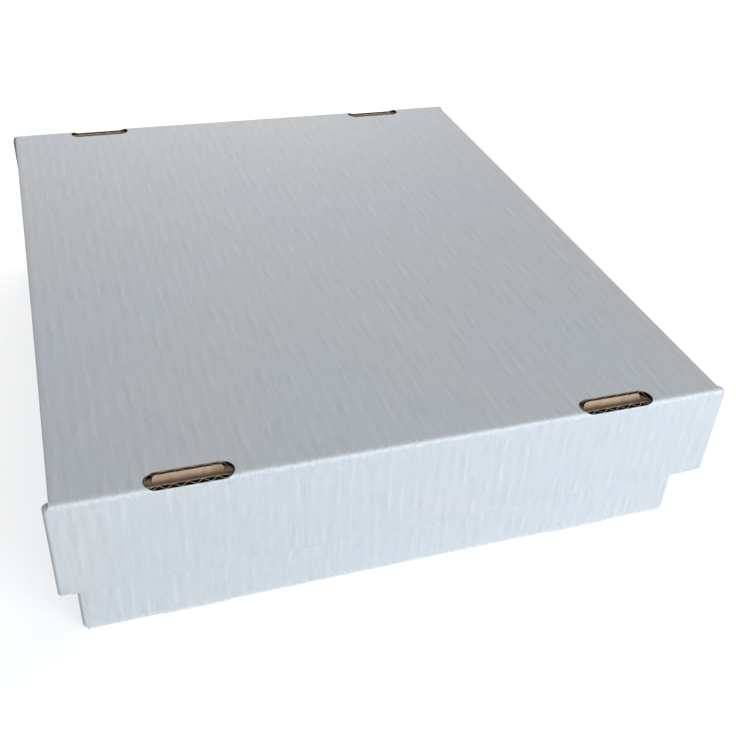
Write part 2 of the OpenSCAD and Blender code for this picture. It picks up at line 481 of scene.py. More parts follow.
class Outline:
    """Sizes of one folded sheet, worked out from its outer size as the die cutter's are."""

    def __init__(self, width, depth, height, flap, recess, slot_drop):
        board, fold = settings("board"), settings("fold")
        self.full = board.thickness
        self.radius = board.crease
        self.turn = QUARTER * self.radius
        self.stack = 3 * self.full + 2 * board.layer_gap
        self.height, self.flap, self.recess = height, flap, recess
        self.ear_x = width / 2
        self.ear_z = max(fold.ear_radius + fold.ear_recess, self.radius) + 0.2 * MM
        self.side_x = self.ear_x - fold.ear
        self.panel_x = self.side_x - self.radius
        self.roll_x = self.side_x - self.full - fold.roll_gap
        self.end_y = depth / 2
        self.panel_y = self.end_y - self.radius
        self.flap_y = self.end_y - self.full - board.layer_gap
        self.crease_y = self.flap_y - fold.notch
        self.shoulder_y = self.flap_y - 0.15 * fold.notch
        self.wall_y = self.flap_y - self.radius
        self.foot = self.full + board.layer_gap
        self.flap_low = self.full + 2 * board.layer_gap
        self.flap_top = height - self.flap_low
        self.slot_far = self.end_y - self.stack - fold.slot_clear
        drop_angle = math.acos(1 - min(slot_drop / self.radius, 1.0))
        self.slot_near = self.panel_y + drop_angle * self.radius
        self.slot_middle = (self.slot_far + self.slot_near) / 2
        self.slot_radius = (self.slot_near - self.slot_far) / 2
        self.slot_half = fold.slot_length / 2

    def slot_reach(self, x):
        """Half the height of the lock slots at positions x along the end wall."""
        off = np.abs(np.abs(x) - settings("fold").tab_place)
        into_end = np.maximum(off - (self.slot_half - self.slot_radius), 0.0)
        reach = np.sqrt(np.maximum(self.slot_radius**2 - into_end**2, 0.0))
        return np.where(off < self.slot_half - NEAR, reach, 0.0)

    def pressed_rim(self, x, z):
        """Share of thickness lost at a place of an outer end wall, beside its cut outline."""
        fold = settings("fold")
        past_fold = smooth_step((np.abs(x) - self.side_x) / MM)
        past_roll = smooth_step((np.abs(x) - self.roll_x) / MM)
        from_side = self.ear_x - np.abs(x)
        from_fold = z - fold.ear_recess + (1 - past_fold) * fold.press_reach
        from_rim = self.height - fold.ear_recess - z + (1 - past_roll) * fold.press_reach

        def inside(near, radius):
            round_off = np.hypot(np.maximum(radius - from_side, 0), np.maximum(radius - near, 0))
            return np.where((from_side < radius) & (near < radius), radius - round_off,
                            np.minimum(from_side, near))

        away = np.minimum(inside(from_fold, fold.ear_radius), inside(from_rim, fold.rim_radius))
        share = 1 - np.clip(away / fold.press_reach, 0.0, 1.0)
        return fold.press * (1 - np.sqrt(np.maximum(1 - share**2, 0.0)))

    def across(self, holes):
        """Columns across an end wall, with every cut outline's own positions among them."""
        fold = settings("fold")
        straight = self.slot_half - self.slot_radius
        slot = straight + arc_shares(6) * self.slot_radius
        corner = fold.tab_length / 2 - fold.tab_radius * (1 - arc_shares(4))
        keys = [fold.tab_place + s * k for s in (-1, 1) for k in (*slot, *corner)]
        keys += [self.panel_x, self.side_x, self.roll_x, self.ear_x]
        keys += list(self.ear_x - fold.ear_radius * (1 - arc_shares(8)))
        keys += [abs(x) for low, high in holes for x in (low, high)]
        pitch = settings("board").pitch
        fine = evenly(fold.tab_place - straight, fold.tab_place + straight, pitch / 10)
        keys = np.array(keys)
        clear = np.abs(fine[:, None] - keys[None, :]).min(1) > pitch / 30
        keys = np.concatenate([keys, fine[clear]])
        return cut_line(-self.ear_x, self.ear_x, [*-keys, *keys], pitch / 4)


def end_wall(sheet, size, front, columns, panel_rows, holes, hole_low, hole_high):
    """One half of the panel with its end wall: fold, outer wall, land, inner wall and tabs."""
    fold = settings("fold")
    run_up = size.height - 2 * size.radius
    run_down = size.height - size.radius - size.recess
    path = FoldPath((0.0, 0.0), 0.0,
                    [size.panel_y, run_up, size.stack - 2 * size.radius, run_down], size.radius)
    wall_start, wall_end = path.marks[2], path.marks[3]
    tip = path.marks[-1]
    foot = tip - (size.foot - size.recess)

    def place(p, a, b):
        inside = size.side_x - np.clip(b, size.radius, size.full)
        mitred = (a <= size.crease_y + NEAR) & (b <= size.full + NEAR)
        p = np.where(mitred, np.clip(p, -inside, inside), p)
        if not front:
            past_side = np.maximum(np.abs(p) - size.side_x, 0.0)
            p = p - np.sign(p) * past_side * (1 - fold.back_ear / fold.ear)
        return np.stack([p, -a if front else a, b], -1)

    def flat(p, q):
        return p, (-q if front else q)

    def press(p, q):
        """The outer end wall is pressed thin along its cut sides."""
        on_wall = (q >= wall_start - TINY) & (q <= wall_end + TINY)
        return np.where(on_wall, size.pressed_rim(p, size.radius + q - wall_start), 0.0)

    def crush(p, q):
        """Lock tabs are squeezed thin where they were pushed into their slots."""
        near_tip = smooth_step((q - foot + CRUSH_BEFORE) / (tip - foot + CRUSH_BEFORE))
        off = np.abs(np.abs(p) - fold.tab_place) - fold.tab_length / 2
        return fold.tab_crush * near_tip * smooth_step(1 - off / CRUSH_BESIDE)

    def mitred(p, q):
        """Where a slot opens the first fold, nothing presses on the inside of the turn."""
        beside_slot = np.abs(np.abs(p) - fold.tab_place) > size.slot_half - NEAR
        return beside_slot | (q > wall_start + size.full)

    region = Region(path, place, flat, crush, press, mitred)
    panel_end(sheet, size, region, columns, panel_rows, wall_start)

    above = wall_start - size.radius
    wall_rows = cut_line(wall_start, wall_end, [above + size.ear_z], WALL_STEP)
    beside = np.abs(columns[1:] + columns[:-1]) > 2 * size.side_x
    above_ears = wall_rows[:-1] > above + size.ear_z - NEAR
    sheet.faces_of(region, columns, wall_rows, above_ears[:, None] | ~beside[None, :])

    rolled = between(columns, -size.roll_x, size.roll_x)
    rolled_wall(sheet, size, region, rolled, foot, holes, hole_low, hole_high)
    lock_tabs(sheet, size, region, rolled, foot, tip)
    heights = between(wall_rows - above, size.ear_z, math.inf)
    ears(sheet, size, place, flat, columns, above, heights)


def panel_end(sheet, size, region, columns, panel_rows, wall_start):
    """Half of the panel and its fold, with the lock slots and the notches cut in them."""
    fold = settings("fold")
    middle = between(columns, -size.side_x, size.side_x)
    turn_rows = np.linspace(size.panel_y, wall_start, 8)[1:]
    rows = np.concatenate([panel_rows, turn_rows])
    split = int((rows < size.slot_middle).sum())
    rows = np.concatenate([rows[:split], [size.slot_middle] * 2, rows[split:]])
    reach = size.slot_reach(middle)[None, :]
    grid = np.repeat(rows[:, None], len(middle), 1)
    grid[:split + 1] = np.minimum(grid[:split + 1], size.slot_middle - reach)
    grid[split + 1:] = np.maximum(grid[split + 1:], size.slot_middle + reach)
    shoulder = rows[:-1] > size.shoulder_y - NEAR
    keep = shoulder[:, None] | (np.abs(middle[1:] + middle[:-1]) < 2 * size.panel_x)[None, :]
    keep[split] = False
    sheet.faces_of(region, middle, grid, keep)
    for side in (-1, 1):
        slot_x = middle[np.abs(middle - side * fold.tab_place) <= size.slot_half + NEAR]
        tall = size.slot_reach(slot_x)
        far = pairs(slot_x, size.slot_middle - tall)
        near = pairs(slot_x, size.slot_middle + tall)[-2:0:-1]
        sheet.cut_edge(region, np.vstack([far, near]), -1, closed=True)
        notch_rows = between(rows, size.crease_y, size.shoulder_y)
        fold_rows = between(rows, size.shoulder_y, math.inf)
        line = [pairs(side * size.panel_x, notch_rows), pairs(side * size.side_x, fold_rows)]
        sheet.plain_edge(region, np.vstack(line), side)


def rolled_wall(sheet, size, region, rolled, foot, holes, hole_low, hole_high):
    """The land at the rim and the inner wall below it, with the slots for the dividers."""
    marks = region.path.marks
    wall_end, land_start, land_end, down_start = marks[3:7]
    hole_rows = [down_start + size.height - size.radius - z for z in (hole_low, hole_high)]
    down_rows = cut_line(down_start, foot, hole_rows, WALL_STEP)
    roll_rows = np.concatenate([
        np.linspace(wall_end, land_start, 6), np.linspace(land_end, down_start, 6)[:-1],
        down_rows])
    centre_p = (rolled[1:] + rolled[:-1]) / 2
    centre_q = (roll_rows[1:] + roll_rows[:-1]) / 2
    keep = np.ones((len(centre_q), len(centre_p)), bool)
    tall = (centre_q > hole_rows[1]) & (centre_q < hole_rows[0])
    for low, high in holes:
        keep &= ~(tall[:, None] & ((centre_p > low) & (centre_p < high))[None, :])
    sheet.faces_of(region, rolled, roll_rows, keep)
    for low, high in holes:
        wide = between(rolled, low, high)
        deep = between(down_rows, hole_rows[1], hole_rows[0])
        for q, side in ((hole_rows[0], 1), (hole_rows[1], -1)):
            sheet.plain_edge(region, pairs(wide, q), side)
        for p, side in ((low, 1), (high, -1)):
            sheet.plain_edge(region, pairs(p, deep), side)
    for side in (-1, 1):
        sheet.plain_edge(region, pairs(side * size.roll_x, roll_rows), side)


def lock_tabs(sheet, size, region, rolled, foot, tip):
    """The lock tabs below the inner wall, and the bare edge beside them."""
    fold = settings("fold")
    tab_edges = sorted(s * fold.tab_place + t * fold.tab_length / 2
                       for s in (-1, 1) for t in (-1, 1))
    stops = [-size.roll_x, *tab_edges, size.roll_x]
    for low, high in zip(stops[::2], stops[1::2], strict=True):
        sheet.plain_edge(region, pairs(between(rolled, low, high), foot), -1)
    for low, high in zip(tab_edges[::2], tab_edges[1::2], strict=True):
        wide = between(rolled, low, high)
        tops = tip - drawn_back(fold.tab_radius, np.minimum(wide - low, high - wide))
        grid = foot + (tops - foot)[None, :] * np.linspace(0, 1, 4)[:, None]
        sheet.faces_of(region, wide, grid)
        rise, fall = pairs(low, grid[:-1, 0]), pairs(high, grid[-2::-1, -1])
        sheet.cut_edge(region, np.vstack([rise, pairs(wide, tops), fall]), -1)


def ears(sheet, size, place, flat_of_wall, columns, above, heights):
    """The parts of an outer end wall that lie past its folds, and their cut outline."""
    fold = settings("fold")
    path = FoldPath((size.end_y, 0.0), QUARTER, [size.height], size.radius)

    def flat(p, q):
        return flat_of_wall(p, above + q)

    region = Region(path, place, flat, press=size.pressed_rim)

    share = arc_shares(7)[:, None]
    for side in (-1, 1):
        outer = columns[side * columns >= size.side_x - NEAR]
        corner = drawn_back(fold.ear_radius, size.ear_x - np.abs(outer))
        fold_end = fold.ear_recess + corner
        sheet.faces_of(region, outer, size.ear_z + (fold_end - size.ear_z)[None, :] * share)
        rim = columns[side * columns >= size.roll_x - NEAR]
        rim_start = size.height - size.radius
        corner = drawn_back(fold.rim_radius, size.ear_x - np.abs(rim))
        rim_end = size.height - fold.ear_recess - corner
        sheet.faces_of(region, rim, rim_start + (rim_end - rim_start)[None, :] * share)
        order = slice(None, None, side)
        line = np.vstack([
            pairs(outer[order], fold_end[order]), pairs(side * size.ear_x, heights),
            pairs(rim[order][::-1], rim_end[order][::-1])])
        foot = int((np.abs(outer) <= size.side_x + EAR_FOOT + NEAR).sum())
        sheet.plain_edge(region, line[:foot], side)
        sheet.cut_edge(region, line[foot - 1:], side)
        inner = size.radius + (fold_end[order][0] - size.radius) * share.ravel()
        sheet.plain_edge(region, pairs(side * size.side_x, inner), side)
        seam = rim_start + (rim_end[order][0] - rim_start) * share.ravel()
        sheet.plain_edge(region, pairs(side * size.roll_x, seam), -side)


def side_wall(sheet, size, right, panel_rows):
    """One side wall with its fold along the panel and its two corner flaps."""
    path = FoldPath((0.0, 0.0), 0.0, [0.0, size.height - size.radius], size.radius)
    top = path.marks[-1]
    sign = 1 if right else -1

    def place(p, a, b):
        inside = size.flap_y - np.clip(size.radius - a, size.radius, size.full)
        p = np.where(b > size.full + NEAR, np.clip(p, -inside, inside), p)
        return np.stack([sign * (size.panel_x + a), p, b], -1)

    def flat(p, q):
        return sign * (size.panel_x + q), p

    region = Region(path, place, flat)
    rows = np.concatenate([-panel_rows[:0:-1], panel_rows])
    crease_p = between(rows, -size.crease_y, size.crease_y)
    wall_p = between(rows, -size.wall_y, size.wall_y)
    crease_q = np.linspace(0, size.turn, 7)
    above = size.turn - size.radius
    keys = [above + size.flap_low, above + size.flap_top]
    wall_q = cut_line(size.turn, top, keys, settings("board").pitch / 6)
    sheet.faces_of(region, crease_p, crease_q)
    sheet.faces_of(region, wall_p, wall_q)
    sheet.cut_edge(region, pairs(wall_p, top), -1)
    shelf = between(crease_p, size.wall_y, math.inf)[::-1]
    below_flap = between(wall_q, -math.inf, keys[0])
    beside_flap = between(wall_q, keys[0], math.inf)
    for end in (-1, 1):
        line = np.vstack([
            pairs(end * size.crease_y, crease_q), pairs(end * shelf, size.turn)[1:],
            pairs(end * size.wall_y, below_flap)[1:]])
        sheet.cut_edge(region, line, end)
        corner_flap(sheet, size, sign, end, beside_flap - above)


def corner_flap(sheet, size, sign, end, heights):
    """The flap at one end of a side wall, folded in between the end wall's two layers."""
    path = FoldPath((size.wall_y, 0.0), 0.0, [0.0, size.flap - size.radius], size.radius)
    tip = path.marks[-1]

    def place(p, a, b):
        return np.stack([sign * (size.side_x - b), end * a, p], -1)

    def flat(p, q):
        return sign * (size.panel_x + size.turn + p - size.radius), end * (size.wall_y + q)

    region = Region(path, place, flat)
    bend_q = np.linspace(0, size.turn, 6)
    flap_q = evenly(size.turn, tip, FLAP_STEP)
    flap_p = between(heights, -math.inf, size.flap_top)
    sheet.faces_of(region, heights, bend_q)
    sheet.faces_of(region, flap_p, flap_q)
    sheet.cut_edge(region, pairs(heights[-1], bend_q), 1)
    above_flap = between(heights, size.flap_top, math.inf)
    sheet.plain_edge(region, pairs(above_flap[::-1], size.turn), 1)
    sheet.plain_edge(region, pairs(size.flap_top, flap_q), 1)
    sheet.cut_edge(region, pairs(flap_p[::-1], tip), 1)
    around = np.concatenate([bend_q, flap_q[1:]])
    sheet.plain_edge(region, pairs(size.flap_low, around[::-1]), 1)


def folded_sheet(name, size, settle, holes=(), hole_low=0.0, hole_high=0.0):
    """A tray or a lid: one sheet with two double end walls and two single side walls."""
    sheet = Board(settle)
    columns = size.across(holes)
    keys = [size.crease_y, size.wall_y, size.shoulder_y]
    panel_rows = cut_line(0.0, size.panel_y, keys, PANEL_STEP)
    for front in (True, False):
        end_wall(sheet, size, front, columns, panel_rows, holes, hole_low, hole_high)
    for right in (True, False):
        side_wall(sheet, size, right, panel_rows)
    return sheet.build(name)


def bow(points):
    """Soft unevenness of the whole box, the same for every layer of board at one place.

    It only goes inwards from the box's outside, so that no wall or lid stands past it."""
    x, y, z = points[..., 0], points[..., 1], points[..., 2]
    swell, ripple, lean = 1.0, 0.6, 0.5
    rise = swell * np.sin(9.1 * x + 1.3) * np.sin(7.3 * y + 0.6)
    rise = rise + ripple * np.sin(17 * x - 11 * y)
    rise = (rise - swell - ripple) * smooth_step(z / lid_high.z)
    out_x = lean * (np.sin(13 * y + 2.1) * np.sin(19 * z) - x / lid_high.x)
    out_y = lean * (np.sin(15 * x + 0.4) * np.sin(23 * z + 0.8) - y / lid_high.y)
    return points + BOW * np.stack([out_x, out_y, rise], -1)


def tray_outline():
    """The tray's sheet, from its CAD node's size."""
    fold = settings("fold")
    return Outline(tray_high.x - tray_low.x, tray_high.y - tray_low.y, tray_high.z - tray_low.z,
                   fold.tray_flap, fold.tray_tab_recess, fold.tray_slot_drop)


def lid_outline():
    """The lid's sheet, from its CAD node's size."""
    fold = settings("fold")
    return Outline(lid_high.x - lid_low.x, lid_high.y - lid_low.y, lid_high.z - lid_low.z,
                   fold.lid_flap, fold.lid_tab_recess, fold.lid_slot_drop)


def divider_nodes():
    """Names of the CAD nodes that are row dividers."""
    return sorted(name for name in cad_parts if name.startswith("row_divider_"))


def ready(piece, body, node):
    """Gives a piece its finishes and puts it in its CAD node's place."""
    if not piece.data.polygons:
        raise RuntimeError(f"{piece.name} has no faces")
    for finish in (white_liner(), kraft_liner(), cut_paper(), flute_tunnel()):
        piece.data.materials.append(finish)
    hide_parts(node)
    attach(piece, body)


def make_tray():
    """The tray, with a slot in both inner end walls for each divider's tabs."""
    divider = settings("divider")
    holes = []
    for node in divider_nodes():
        low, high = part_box(node)
        holes.append((low.x - divider.slot_air, high.x + divider.slot_air))
        seat = low.z + divider.tab_low
    hole_low, hole_high = seat - divider.slot_air, seat + divider.tab_size + divider.slot_air
    piece = folded_sheet("tray_board", tray_outline(), bow, holes, hole_low, hole_high)
    ready(piece, "tray", "tray")


def make_lid():
    """The lid, a wider sheet folded the same way and turned upside down."""
    def turned_over(points):
        return bow(np.array([0.0, 0.0, lid_high.z]) + points * np.array([1.0, 1.0, -1.0]))

    ready(folded_sheet("lid_board", lid_outline(), turned_over), "lid", "lid")


def make_divider(node):
    """A strip folded in half along its upper edge, with a tab on each end of both leaves."""
    board, divider = settings("board"), settings("divider")
    low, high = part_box(node)
    radius = (high.x - low.x) / 2
    middle = (high.x + low.x) / 2
    leaf = high.z - low.z - radius
    half = tray_outline().end_y - tray_outline().stack - divider.end_gap
    path = FoldPath((radius, 0.0), QUARTER, [leaf, 0.0, leaf], radius)
    last = path.marks[-1]

    def place(p, a, b):
        return np.stack([middle + a, p, low.z + b], -1)

    region = Region(path, place, lambda p, q: (p, q))
    sheet = Board(bow)
    columns = evenly(-half, half, board.pitch / 6)
    tab = (divider.tab_low, divider.tab_low + divider.tab_size)
    up = cut_line(0.0, leaf, tab, FLAP_STEP)
    over = np.linspace(leaf, last - leaf, 13)
    rows = np.concatenate([up, over[1:-1], last - up[::-1]])
    sheet.faces_of(region, columns, rows)
    sheet.cut_edge(region, pairs(columns, 0.0), 1)
    sheet.cut_edge(region, pairs(columns, last), -1)
    tab_up = between(up, *tab)
    for end in (-1, 1):
        reach = np.linspace(half, high.y, 4)
        for stretch in (tab_up, last - tab_up[::-1]):
            sheet.faces_of(region, end * reach, stretch)
        outline = [pairs(end * half, up[up <= tab[0] + NEAR]), pairs(end * reach[1:], tab[0]),
                   pairs(end * high.y, tab_up[1:]), pairs(end * reach[-2::-1], tab[1]),
                   pairs(end * half, up[up > tab[1] + NEAR])]
        half_line = np.vstack(outline)
        back = half_line[::-1] * np.array([1.0, -1.0]) + np.array([0.0, last])
        line = np.vstack([half_line, pairs(end * half, over[1:-1]), back])
        sheet.cut_edge(region, line, end)
    ready(sheet.build(node + "_board"), "tray", node)


class Wiring:
    """Adds nodes to one node tree and links them."""

    def __init__(self, tree):
        self.tree = tree
        self.tree.nodes.clear()

    def set(self, socket, value):
        """Links a socket to another one, or sets its own value."""
        if isinstance(value, bpy.types.NodeSocket):
            self.tree.links.new(value, socket)
        else:
            socket.default_value = value

    def add(self, kind, values=None, **options):
        """A node with options set, and sockets set or linked by name or number."""
        node = self.tree.nodes.new("ShaderNode" + kind)
        for name, value in options.items():
            setattr(node, name, value)
        for name, value in (values or {}).items():
            self.set(node.inputs[name], value)
        return node

    def math(self, operation, *values, clamp=False):
        """The result of one operation on values or sockets."""
        node = self.add("Math", dict(enumerate(values)), operation=operation, use_clamp=clamp)
        return node.outputs[0]

    def ramp(self, value, low, high, to_low=0.0, to_high=1.0):
        """Smoothly maps a value's range low to high onto the range to_low to to_high."""
        values = {"Value": value, "From Min": low, "From Max": high, "To Min": to_low,
                  "To Max": to_high}
        node = self.add("MapRange", values, interpolation_type="SMOOTHSTEP")
        return node.outputs["Result"]

    def noise(self, vector, scale, detail=2.0, rough=0.5, warp=0.0):
        """Cloudy noise from 0 to 1."""
        node = self.add("TexNoise", {"Vector": vector, "Scale": scale, "Detail": detail,
                                     "Roughness": rough, "Distortion": warp})
        return node.outputs["Fac"]

    def mixed(self, share, one, other):
        """A colour between one and other."""
        node = self.add("Mix", data_type="RGBA")
        self.set(node.inputs["Factor"], share)
        for name, value in (("A", one), ("B", other)):
            self.set(next(s for s in node.inputs if s.name == name and s.type == "RGBA"), value)
        return next(s for s in node.outputs if s.type == "RGBA")

    def covered(self, base, mask, share, over):
        """A base colour covered by another where a mask is 1, up to a share."""
        return self.mixed(self.math("MULTIPLY", mask, share), base, over)

    def stretched(self, vector, across, along):
        """A flat position scaled to 1 over the lengths across and along the flutes."""
        node = self.add("VectorMath", {0: vector, 1: (1 / across, 1 / along, 1.0)},
                        operation="MULTIPLY")
        return node.outputs[0]


def made_once(store, name):
    """Lets a function make the node group or material of a name once, and finds it afterwards."""
    def wrap(make):
        def find():
            known = getattr(bpy.data, store)
            return known[name] if name in known else make(name)
        return find
    return wrap


def new_group(name, inputs, outputs):
    """A shader node group with named number sockets, and the wiring to fill it."""
    tree = bpy.data.node_groups.new(name, "ShaderNodeTree")
    number = "NodeSocketFloat"
    for label, default in inputs.items():
        socket = tree.interface.new_socket(label, in_out="INPUT", socket_type=number)
        socket.default_value = default
    for label in outputs:
        tree.interface.new_socket(label, in_out="OUTPUT", socket_type=number)
    wiring = Wiring(tree)
    entry = tree.nodes.new("NodeGroupInput")
    leave = tree.nodes.new("NodeGroupOutput")
    return wiring, entry.outputs, leave.inputs


@made_once("node_groups", "Flute print")
def flute_group(name):
    """How the flutes show through a liner: a bump relief, painted shade in wavering broken streaks,
    and a painted highlight on the flute crests.
    """
    wiring, entry, leave = new_group(
        name, {"Pitch": 0.0077, "Waver": 0.14, "Broken": 0.6}, ["Glint", "Streak", "Height"])
    flat = wiring.add("UVMap", uv_map="sheet").outputs["UV"]
    split = wiring.add("SeparateXYZ", {0: flat})
    turns = wiring.math("DIVIDE", split.outputs["X"], entry["Pitch"])
    drift = wiring.noise(wiring.stretched(flat, 9 * MM, 34 * MM), 1.0, 2.0)
    drift = wiring.math("MULTIPLY", wiring.math("SUBTRACT", drift, 0.5), entry["Waver"])
    phase = wiring.math("MULTIPLY", wiring.math("ADD", turns, drift), 2 * math.pi)
    crest = wiring.math("MULTIPLY_ADD", wiring.math("COSINE", phase), 0.5, 0.5)
    dashes = wiring.noise(wiring.stretched(flat, 2.9 * MM, 24 * MM), 1.0, 2.0, 0.5, 0.4)
    gaps = wiring.noise(wiring.stretched(flat, 13 * MM, 22 * MM), 1.0, 2.0)
    broken = wiring.ramp(gaps, 0.4, 0.6)
    broken = wiring.math("SUBTRACT", 1.0, wiring.math("MULTIPLY", broken, entry["Broken"]))
    # The dark streaks are painted shade of the washboard, in broken dashes strongest in the valleys
    # between flutes.
    valley = wiring.math("MULTIPLY_ADD", crest, -0.5, 1.0)
    dark = wiring.math("MULTIPLY", wiring.ramp(dashes, 0.46, 0.62), valley)
    wiring.set(leave["Streak"], wiring.math("MULTIPLY", dark, broken))
    # The bright lines are a painted highlight, thin on each flute's crest and broken by noise.
    light = wiring.math("SUBTRACT", 1.0, wiring.ramp(dashes, 0.42, 0.56))
    light = wiring.math("MULTIPLY", light, wiring.math("POWER", crest, 4.0))
    wiring.set(leave["Glint"], wiring.math("MULTIPLY", light, broken))
    relief = wiring.math("MULTIPLY", wiring.math("MULTIPLY", crest, 0.5), broken)
    wiring.set(leave["Height"], wiring.math("MULTIPLY_ADD", dashes, -1.2, relief))
    return wiring.tree


@made_once("node_groups", "Paper fibre")
def fibre_group(name):
    """Paper fibres: soft clouds, fine grain and a few dark specks."""
    wiring, entry, leave = new_group(name, {"Fineness": 1.0}, ["Cloud", "Speck", "Grain"])
    flat = wiring.add("UVMap", uv_map="sheet").outputs["UV"]
    cloud = wiring.noise(flat, wiring.math("MULTIPLY", entry["Fineness"], 220.0), 4.0, 0.6)
    wiring.set(leave["Cloud"], cloud)
    fibres = wiring.stretched(flat, 0.5 * MM, 1.6 * MM)
    shreds = wiring.noise(fibres, entry["Fineness"], 3.0, 0.6, 0.8)
    wiring.set(leave["Grain"], shreds)
    wiring.set(leave["Speck"], wiring.ramp(shreds, 0.70, 0.78))
    return wiring.tree


@made_once("node_groups", "Handling")
def handling_and_highlight_group(name):
    """Traces of folding and handling: bruised creases, dents and slow drift of tone, and a jagged
    bright line along each fold that is partly scuffed liner and partly painted highlight.
    """
    wiring, entry, leave = new_group(
        name, {"Reach": 1.0}, ["Crease", "Bruise", "Dent", "Tone"])
    flat = wiring.add("UVMap", uv_map="sheet").outputs["UV"]
    bend = wiring.add("Attribute", attribute_name="bend").outputs["Fac"]
    bend = wiring.math("MULTIPLY", bend, entry["Reach"], clamp=True)
    chips = wiring.noise(wiring.stretched(flat, 2.0 * MM, 2.4 * MM), 1.0, 3.0, 0.6)
    patches = wiring.noise(wiring.stretched(flat, 4 * MM, 6 * MM), 1.0, 2.0, 0.5)
    # A jagged bright band in the middle of each fold, partly scuffed liner and partly painted
    # highlight of the rounded fold.
    near_line = wiring.math("MULTIPLY_ADD", chips, 0.5, bend)
    wiring.set(leave["Crease"], wiring.ramp(near_line, 1.14, 1.28))
    bruise = wiring.math("MULTIPLY", wiring.ramp(bend, 0.12, 0.7), wiring.ramp(patches, 0.5, 0.68))
    wiring.set(leave["Bruise"], bruise)
    wiring.set(leave["Dent"], wiring.ramp(wiring.noise(flat, 75.0, 1.0), 0.70, 0.80))
    wiring.set(leave["Tone"], wiring.noise(flat, 6.0, 3.0, 0.45))
    return wiring.tree


def group_node(wiring, tree, **values):
    """A node group placed in a material with its own values."""
    node = wiring.add("Group", node_tree=tree)
    for name, value in values.items():
        node.inputs[name].default_value = value
    return node.outputs


def new_finish(name):
    """An empty material with its wiring."""
    finish = bpy.data.materials.new(name)
    finish.use_nodes = True
    return finish, Wiring(finish.node_tree)


def paper_shader(wiring, base, roughness, height, relief, gloss):
    """Closes a paper finish: colour, roughness and relief into one surface shader."""
    bump = wiring.add("Bump", {"Height": height, "Strength": 1.0, "Distance": relief})
    paper = wiring.add("BsdfPrincipled", {
        "Base Color": base, "Roughness": roughness, "Normal": bump.outputs["Normal"],
        "Specular IOR Level": gloss})
    wiring.add("OutputMaterial", {"Surface": paper.outputs["BSDF"]})


def tone(shade, factor):
    """A shade multiplied by one factor or three, as a node colour."""
    scaled = np.clip(np.array(shade) * np.array(factor), 0.0, 1.0)
    return (*[float(x) for x in scaled], 1.0)


@made_once("materials", "white_liner")
def white_liner(name):
    """Bleached outer liner: fibre clouds, the flutes' painted shade and painted highlight, and
    bright fold lines that are partly scuffed creases and partly painted highlight.
    """
    shade = settings("finish").white
    finish, wiring = new_finish(name)
    flute = group_node(wiring, flute_group(), Pitch=settings("board").pitch, Waver=0.22, Broken=0.7)
    fibre = group_node(wiring, fibre_group(), Fineness=1.0)
    marks = group_node(wiring, handling_and_highlight_group(), Reach=1.0)
    cool, warm = tone(shade, (0.97, 1.0, 1.03)), tone(shade, (1.01, 1.0, 0.985))
    base = wiring.mixed(wiring.ramp(marks["Tone"], 0.4, 0.6), cool, warm)
    # Painted shade in broken streaks along the flute valleys, and a painted highlight on the flute
    # crests.
    base = wiring.covered(base, flute["Streak"], 0.4, tone(shade, 0.84))
    base = wiring.covered(base, flute["Glint"], 0.65, tone(shade, 1.12))
    base = wiring.mixed(wiring.ramp(fibre["Cloud"], 0.35, 0.65, 0.0, 0.22), base, tone(shade, 1.07))
    base = wiring.covered(base, fibre["Speck"], 0.25, tone(shade, 0.7))
    base = wiring.covered(base, marks["Bruise"], 0.45, tone(shade, 1.12))
    # A bright jagged line along each fold: partly scuffed liner, partly painted highlight of the
    # rounded fold.
    base = wiring.covered(base, marks["Crease"], 0.8, tone(shade, 1.25))
    uneven = wiring.math("ADD", fibre["Cloud"], marks["Bruise"])
    roughness = wiring.ramp(uneven, 0.3, 1.2, 0.58, 0.76)
    height = wiring.math("MULTIPLY_ADD", fibre["Grain"], 0.35, flute["Height"])
    height = wiring.math("MULTIPLY_ADD", marks["Dent"], -1.4, height)
    height = wiring.math("MULTIPLY_ADD", marks["Bruise"], 0.5, height)
    paper_shader(wiring, base, roughness, height, 0.09 * MM, 0.35)
    return finish


@made_once("materials", "kraft_liner")
def kraft_liner(name):
    """Unbleached inner liner: brown, with visible fibres."""
    shade = settings("finish").kraft
    finish, wiring = new_finish(name)
    flute = group_node(wiring, flute_group(), Pitch=settings("board").pitch, Waver=0.2, Broken=0.5)
    fibre = group_node(wiring, fibre_group(), Fineness=0.8)
    marks = group_node(wiring, handling_and_highlight_group(), Reach=1.0)
    base = wiring.mixed(wiring.ramp(fibre["Cloud"], 0.3, 0.7), tone(shade, 0.86), tone(shade, 1.14))
    # Painted shade in broken streaks along the flute valleys.
    base = wiring.covered(base, flute["Streak"], 0.4, tone(shade, 0.72))
    base = wiring.covered(base, fibre["Speck"], 0.6, tone(shade, 0.5))
    base = wiring.mixed(wiring.ramp(marks["Tone"], 0.35, 0.65, 0.0, 0.25), base, tone(shade, 1.15))
    base = wiring.covered(base, marks["Bruise"], 0.3, tone(shade, 1.3))
    roughness = wiring.ramp(fibre["Cloud"], 0.3, 0.7, 0.72, 0.9)
    height = wiring.math("MULTIPLY_ADD", fibre["Grain"], 0.6, flute["Height"])
    paper_shader(wiring, base, roughness, height, 0.09 * MM, 0.3)
    return finish


